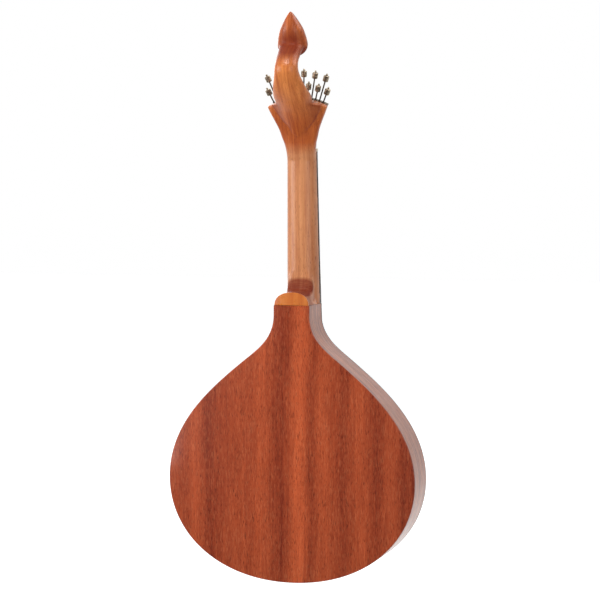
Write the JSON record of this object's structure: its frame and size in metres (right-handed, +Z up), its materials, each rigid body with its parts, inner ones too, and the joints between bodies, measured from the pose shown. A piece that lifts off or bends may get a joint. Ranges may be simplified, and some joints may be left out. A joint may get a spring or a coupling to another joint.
{
  "type": "portuguese guitar",
  "caption": "Pear-shaped flat-backed plucked instrument with a carved teardrop finial, a fan-shaped screw tuner, a round sound hole and paired steel strings.",
  "frame": {"origin": "on the centre line at the nut, in the middle of the neck's thickness, where a wall hanger's fork holds the neck", "axes": "+Z up along the body's centre line towards the head, +Y out of the back plate's side, -Y out of the soundboard, +X towards the treble side"},
  "size_m": [0.3966, 0.1333, 0.8853],
  "materials": {
    "mahogany": "glossy lacquer over ribbon-striped mahogany",
    "neck_wood": "glossy lacquer",
    "cap_wood": "glossy lacquer",
    "spruce": "glossy lacquer",
    "ebony": "oiled dark wood",
    "inner_wood": "bare wood",
    "bone": "polished bone, stood in for by plastic",
    "knob_metal": "knurled, satin",
    "hook_metal": "satin",
    "plate_metal": "satin",
    "string_steel": "bright drawn wire"
  },
  "bodies": {
    "guitar": {"soundboard": "spruce", "back_plate": "mahogany", "side_treble": "mahogany", "side_bass": "mahogany", "binding_front": "ebony", "lining_front": "inner_wood", "lining_back": "inner_wood", "neck_block": "inner_wood", "tail_block": "inner_wood", "soundboard_brace_1": "inner_wood", "soundboard_brace_2": "inner_wood", "back_brace_1": "inner_wood", "back_brace_2": "inner_wood", "back_brace_3": "inner_wood", "neck": "neck_wood", "heel_cap": "cap_wood", "fingerboard": "ebony", "nut": "bone", "tuner_plate": "plate_metal", "bridge_base": "ebony", "bridge_saddle": "bone", "tail_guard": "bone", "tailpiece": "plate_metal", "string_01": "string_steel", "string_02": "string_steel", "string_03": "string_steel", "string_04": "string_steel", "string_05": "string_steel", "string_06": "string_steel", "string_07": "string_steel", "string_08": "string_steel", "string_09": "string_steel", "string_10": "string_steel", "string_11": "string_steel", "string_12": "string_steel"},
    "screw_01": {"tuning_screw_01": "knob_metal"},
    "hook_01": {"string_hook_01": "hook_metal"},
    "screw_02": {"tuning_screw_02": "knob_metal"},
    "hook_02": {"string_hook_02": "hook_metal"},
    "screw_03": {"tuning_screw_03": "knob_metal"},
    "hook_03": {"string_hook_03": "hook_metal"},
    "screw_04": {"tuning_screw_04": "knob_metal"},
    "hook_04": {"string_hook_04": "hook_metal"},
    "screw_05": {"tuning_screw_05": "knob_metal"},
    "hook_05": {"string_hook_05": "hook_metal"},
    "screw_06": {"tuning_screw_06": "knob_metal"},
    "hook_06": {"string_hook_06": "hook_metal"},
    "screw_07": {"tuning_screw_07": "knob_metal"},
    "hook_07": {"string_hook_07": "hook_metal"},
    "screw_08": {"tuning_screw_08": "knob_metal"},
    "hook_08": {"string_hook_08": "hook_metal"},
    "screw_09": {"tuning_screw_09": "knob_metal"},
    "hook_09": {"string_hook_09": "hook_metal"},
    "screw_10": {"tuning_screw_10": "knob_metal"},
    "hook_10": {"string_hook_10": "hook_metal"},
    "screw_11": {"tuning_screw_11": "knob_metal"},
    "hook_11": {"string_hook_11": "hook_metal"},
    "screw_12": {"tuning_screw_12": "knob_metal"},
    "hook_12": {"string_hook_12": "hook_metal"}
  },
  "joints": [
    {"name": "tuner_01_turn", "type": "hinge", "parent": "guitar", "child": "screw_01", "pos_m": [0, -0.01039, -0.0115], "axis": [0.4043, 0.2213, 0.8874], "range_deg": [-3620, 3620]},
    {"name": "tuner_01_slide", "type": "slide", "parent": "guitar", "child": "hook_01", "axis": [0.4043, 0.2213, 0.8874], "range_m": [-0.008, 0.008], "deforming": ["string_01"]},
    {"name": "tuner_02_turn", "type": "hinge", "parent": "guitar", "child": "screw_02", "pos_m": [0, -0.01039, -0.0115], "axis": [0.3433, 0.2272, 0.9113], "range_deg": [-3620, 3620]},
    {"name": "tuner_02_slide", "type": "slide", "parent": "guitar", "child": "hook_02", "axis": [0.3433, 0.2272, 0.9113], "range_m": [-0.008, 0.008], "deforming": ["string_02"]},
    {"name": "tuner_03_turn", "type": "hinge", "parent": "guitar", "child": "screw_03", "pos_m": [0, -0.01039, -0.0115], "axis": [0.2808, 0.2322, 0.9312], "range_deg": [-3620, 3620]},
    {"name": "tuner_03_slide", "type": "slide", "parent": "guitar", "child": "hook_03", "axis": [0.2808, 0.2322, 0.9312], "range_m": [-0.008, 0.008], "deforming": ["string_03"]},
    {"name": "tuner_04_turn", "type": "hinge", "parent": "guitar", "child": "screw_04", "pos_m": [0, -0.01039, -0.0115], "axis": [0.2171, 0.2362, 0.9471], "range_deg": [-3620, 3620]},
    {"name": "tuner_04_slide", "type": "slide", "parent": "guitar", "child": "hook_04", "axis": [0.2171, 0.2362, 0.9471], "range_m": [-0.008, 0.008], "deforming": ["string_04"]},
    {"name": "tuner_05_turn", "type": "hinge", "parent": "guitar", "child": "screw_05", "pos_m": [0, -0.01039, -0.0115], "axis": [0.1525, 0.2391, 0.959], "range_deg": [-3620, 3620]},
    {"name": "tuner_05_slide", "type": "slide", "parent": "guitar", "child": "hook_05", "axis": [0.1525, 0.2391, 0.959], "range_m": [-0.008, 0.008], "deforming": ["string_05"]},
    {"name": "tuner_06_turn", "type": "hinge", "parent": "guitar", "child": "screw_06", "pos_m": [0, -0.01039, -0.0115], "axis": [0.0872, 0.241, 0.9666], "range_deg": [-3620, 3620]},
    {"name": "tuner_06_slide", "type": "slide", "parent": "guitar", "child": "hook_06", "axis": [0.0872, 0.241, 0.9666], "range_m": [-0.008, 0.008], "deforming": ["string_06"]},
    {"name": "tuner_07_turn", "type": "hinge", "parent": "guitar", "child": "screw_07", "pos_m": [0, -0.01039, -0.0115], "axis": [-0.0872, 0.241, 0.9666], "range_deg": [-3620, 3620]},
    {"name": "tuner_07_slide", "type": "slide", "parent": "guitar", "child": "hook_07", "axis": [-0.0872, 0.241, 0.9666], "range_m": [-0.008, 0.008], "deforming": ["string_07"]},
    {"name": "tuner_08_turn", "type": "hinge", "parent": "guitar", "child": "screw_08", "pos_m": [0, -0.01039, -0.0115], "axis": [-0.1525, 0.2391, 0.959], "range_deg": [-3620, 3620]},
    {"name": "tuner_08_slide", "type": "slide", "parent": "guitar", "child": "hook_08", "axis": [-0.1525, 0.2391, 0.959], "range_m": [-0.008, 0.008], "deforming": ["string_08"]},
    {"name": "tuner_09_turn", "type": "hinge", "parent": "guitar", "child": "screw_09", "pos_m": [0, -0.01039, -0.0115], "axis": [-0.2171, 0.2362, 0.9471], "range_deg": [-3620, 3620]},
    {"name": "tuner_09_slide", "type": "slide", "parent": "guitar", "child": "hook_09", "axis": [-0.2171, 0.2362, 0.9471], "range_m": [-0.008, 0.008], "deforming": ["string_09"]},
    {"name": "tuner_10_turn", "type": "hinge", "parent": "guitar", "child": "screw_10", "pos_m": [0, -0.01039, -0.0115], "axis": [-0.2808, 0.2322, 0.9312], "range_deg": [-3620, 3620]},
    {"name": "tuner_10_slide", "type": "slide", "parent": "guitar", "child": "hook_10", "axis": [-0.2808, 0.2322, 0.9312], "range_m": [-0.008, 0.008], "deforming": ["string_10"]},
    {"name": "tuner_11_turn", "type": "hinge", "parent": "guitar", "child": "screw_11", "pos_m": [0, -0.01039, -0.0115], "axis": [-0.3433, 0.2272, 0.9113], "range_deg": [-3620, 3620]},
    {"name": "tuner_11_slide", "type": "slide", "parent": "guitar", "child": "hook_11", "axis": [-0.3433, 0.2272, 0.9113], "range_m": [-0.008, 0.008], "deforming": ["string_11"]},
    {"name": "tuner_12_turn", "type": "hinge", "parent": "guitar", "child": "screw_12", "pos_m": [0, -0.01039, -0.0115], "axis": [-0.4043, 0.2213, 0.8874], "range_deg": [-3620, 3620]},
    {"name": "tuner_12_slide", "type": "slide", "parent": "guitar", "child": "hook_12", "axis": [-0.4043, 0.2213, 0.8874], "range_m": [-0.008, 0.008], "deforming": ["string_12"]}
  ],
  "couplings": [
    {"joint": "tuner_01_turn", "follows": "tuner_01_slide", "rad_per_m": -7854},
    {"joint": "tuner_02_turn", "follows": "tuner_02_slide", "rad_per_m": -7854},
    {"joint": "tuner_03_turn", "follows": "tuner_03_slide", "rad_per_m": -7854},
    {"joint": "tuner_04_turn", "follows": "tuner_04_slide", "rad_per_m": -7854},
    {"joint": "tuner_05_turn", "follows": "tuner_05_slide", "rad_per_m": -7854},
    {"joint": "tuner_06_turn", "follows": "tuner_06_slide", "rad_per_m": -7854},
    {"joint": "tuner_07_turn", "follows": "tuner_07_slide", "rad_per_m": -7854},
    {"joint": "tuner_08_turn", "follows": "tuner_08_slide", "rad_per_m": -7854},
    {"joint": "tuner_09_turn", "follows": "tuner_09_slide", "rad_per_m": -7854},
    {"joint": "tuner_10_turn", "follows": "tuner_10_slide", "rad_per_m": -7854},
    {"joint": "tuner_11_turn", "follows": "tuner_11_slide", "rad_per_m": -7854},
    {"joint": "tuner_12_turn", "follows": "tuner_12_slide", "rad_per_m": -7854}
  ]
}
